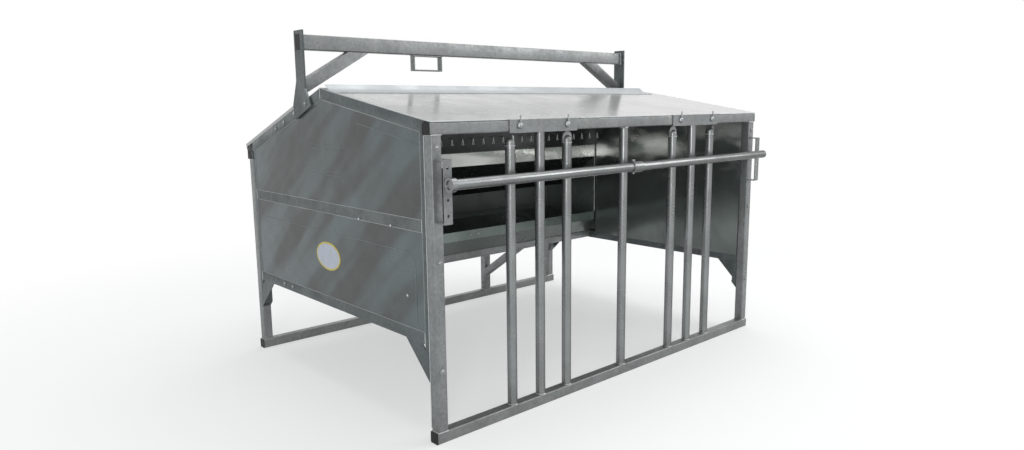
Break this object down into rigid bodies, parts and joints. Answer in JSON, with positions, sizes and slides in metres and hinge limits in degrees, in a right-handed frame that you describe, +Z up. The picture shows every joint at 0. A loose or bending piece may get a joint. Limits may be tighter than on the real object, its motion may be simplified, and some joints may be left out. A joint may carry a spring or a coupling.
{
  "type": "calf creep feeder",
  "caption": "Roofed calf creep feeder of galvanised tube and sheet on two skid rails: bar gates in front, trough and hopper with a lid behind, lifting beam on top.",
  "frame": {"origin": "on the ground, at the middle of the bounding box's footprint", "axes": "+X to the right seen from the front, +Y to the rear where the hopper is, +Z up; the bars face -Y"},
  "size_m": [2.4046, 1.8998, 1.753],
  "materials": {
    "zinc_tube": "hot-dip galvanised, satin, mottled",
    "zinc_sheet": "galvanised sheet with spangle, half gloss",
    "zinc_fastener": "zinc plated",
    "black_plastic": "moulded, matte"
  },
  "bodies": {
    "frame": {"front_bottom_rail": "zinc_tube", "front_top_rail": "zinc_tube", "rear_skid_rail": "zinc_tube", "rear_top_rail": "zinc_tube", "trough_rail": "zinc_tube", "lift_beam": "zinc_tube", "fixed_bar_middle": "zinc_tube", "fixed_bar_left": "zinc_tube", "fixed_bar_right": "zinc_tube", "front_post_left": "zinc_tube", "rear_post_left": "zinc_tube", "mid_leg_left": "zinc_tube", "side_frame_left": "zinc_tube", "lift_plate_left": "zinc_tube", "lift_brace_left": "zinc_tube", "height_strap_left": "zinc_tube", "front_post_right": "zinc_tube", "rear_post_right": "zinc_tube", "mid_leg_right": "zinc_tube", "side_frame_right": "zinc_tube", "lift_plate_right": "zinc_tube", "lift_brace_right": "zinc_tube", "height_strap_right": "zinc_tube", "roof_sheet": "zinc_sheet", "ridge_flashing": "zinc_sheet", "ridge_strip": "zinc_sheet", "hopper_front": "zinc_sheet", "hopper_back": "zinc_sheet", "trough": "zinc_sheet", "side_lower_sheet_left": "zinc_sheet", "side_upper_sheet_left": "zinc_sheet", "side_lining_left": "zinc_sheet", "side_lower_sheet_right": "zinc_sheet", "side_upper_sheet_right": "zinc_sheet", "side_lining_right": "zinc_sheet", "lid_hinge_pin": "zinc_fastener", "front_cap_bottom_left": "black_plastic", "front_cap_bottom_right": "black_plastic", "front_cap_top_left": "black_plastic", "front_cap_top_right": "black_plastic", "rear_cap_skid_left": "black_plastic", "rear_cap_skid_right": "black_plastic", "rear_cap_top_left": "black_plastic", "rear_cap_top_right": "black_plastic", "beam_cap_left": "black_plastic", "beam_cap_right": "black_plastic"},
    "gate_left": {"gate_bar_inner_left": "zinc_tube", "gate_bar_outer_left": "zinc_tube", "clamp_angle_left": "zinc_tube"},
    "clamp_bolt_inner_left": {"clamp_bolt_inner_left": "zinc_fastener"},
    "clamp_bolt_outer_left": {"clamp_bolt_outer_left": "zinc_fastener"},
    "gate_right": {"gate_bar_inner_right": "zinc_tube", "gate_bar_outer_right": "zinc_tube", "clamp_angle_right": "zinc_tube"},
    "clamp_bolt_inner_right": {"clamp_bolt_inner_right": "zinc_fastener"},
    "clamp_bolt_outer_right": {"clamp_bolt_outer_right": "zinc_fastener"},
    "height_bar": {"height_bar_left": "zinc_tube", "height_bar_right": "zinc_tube"},
    "lock_bolt": {"height_lock_bolt": "zinc_fastener"},
    "lid": {"rear_lid": "zinc_sheet"}
  },
  "joints": [
    {"name": "lid_hinge", "type": "hinge", "parent": "frame", "child": "lid", "pos_m": [0, 0.31628, 1.39123], "axis": [1, 0, 0], "range_deg": [0, 112]},
    {"name": "gate_left_slide", "type": "slide", "parent": "frame", "child": "gate_left", "axis": [1, 0, 0], "range_m": [-0.02, 0.02]},
    {"name": "clamp_bolt_inner_left_turn", "type": "hinge", "parent": "gate_left", "child": "clamp_bolt_inner_left", "pos_m": [-0.436, -0.8371, 1.3], "axis": [0, 1, 0], "range_deg": [0, 90]},
    {"name": "clamp_bolt_outer_left_turn", "type": "hinge", "parent": "gate_left", "child": "clamp_bolt_outer_left", "pos_m": [-0.73, -0.8371, 1.3], "axis": [0, 1, 0], "range_deg": [0, 90]},
    {"name": "gate_right_slide", "type": "slide", "parent": "frame", "child": "gate_right", "axis": [1, 0, 0], "range_m": [-0.02, 0.02]},
    {"name": "clamp_bolt_inner_right_turn", "type": "hinge", "parent": "gate_right", "child": "clamp_bolt_inner_right", "pos_m": [0.436, -0.8371, 1.3], "axis": [0, 1, 0], "range_deg": [0, 90]},
    {"name": "clamp_bolt_outer_right_turn", "type": "hinge", "parent": "gate_right", "child": "clamp_bolt_outer_right", "pos_m": [0.73, -0.8371, 1.3], "axis": [0, 1, 0], "range_deg": [0, 90]},
    {"name": "height_bar_draw", "type": "slide", "parent": "frame", "child": "height_bar", "axis": [0, -1, 0], "range_m": [0, 0.12]},
    {"name": "lock_bolt_lift", "type": "slide", "parent": "height_bar", "child": "lock_bolt", "axis": [0, 0, 1], "range_m": [0, 0.06]}
  ]
}
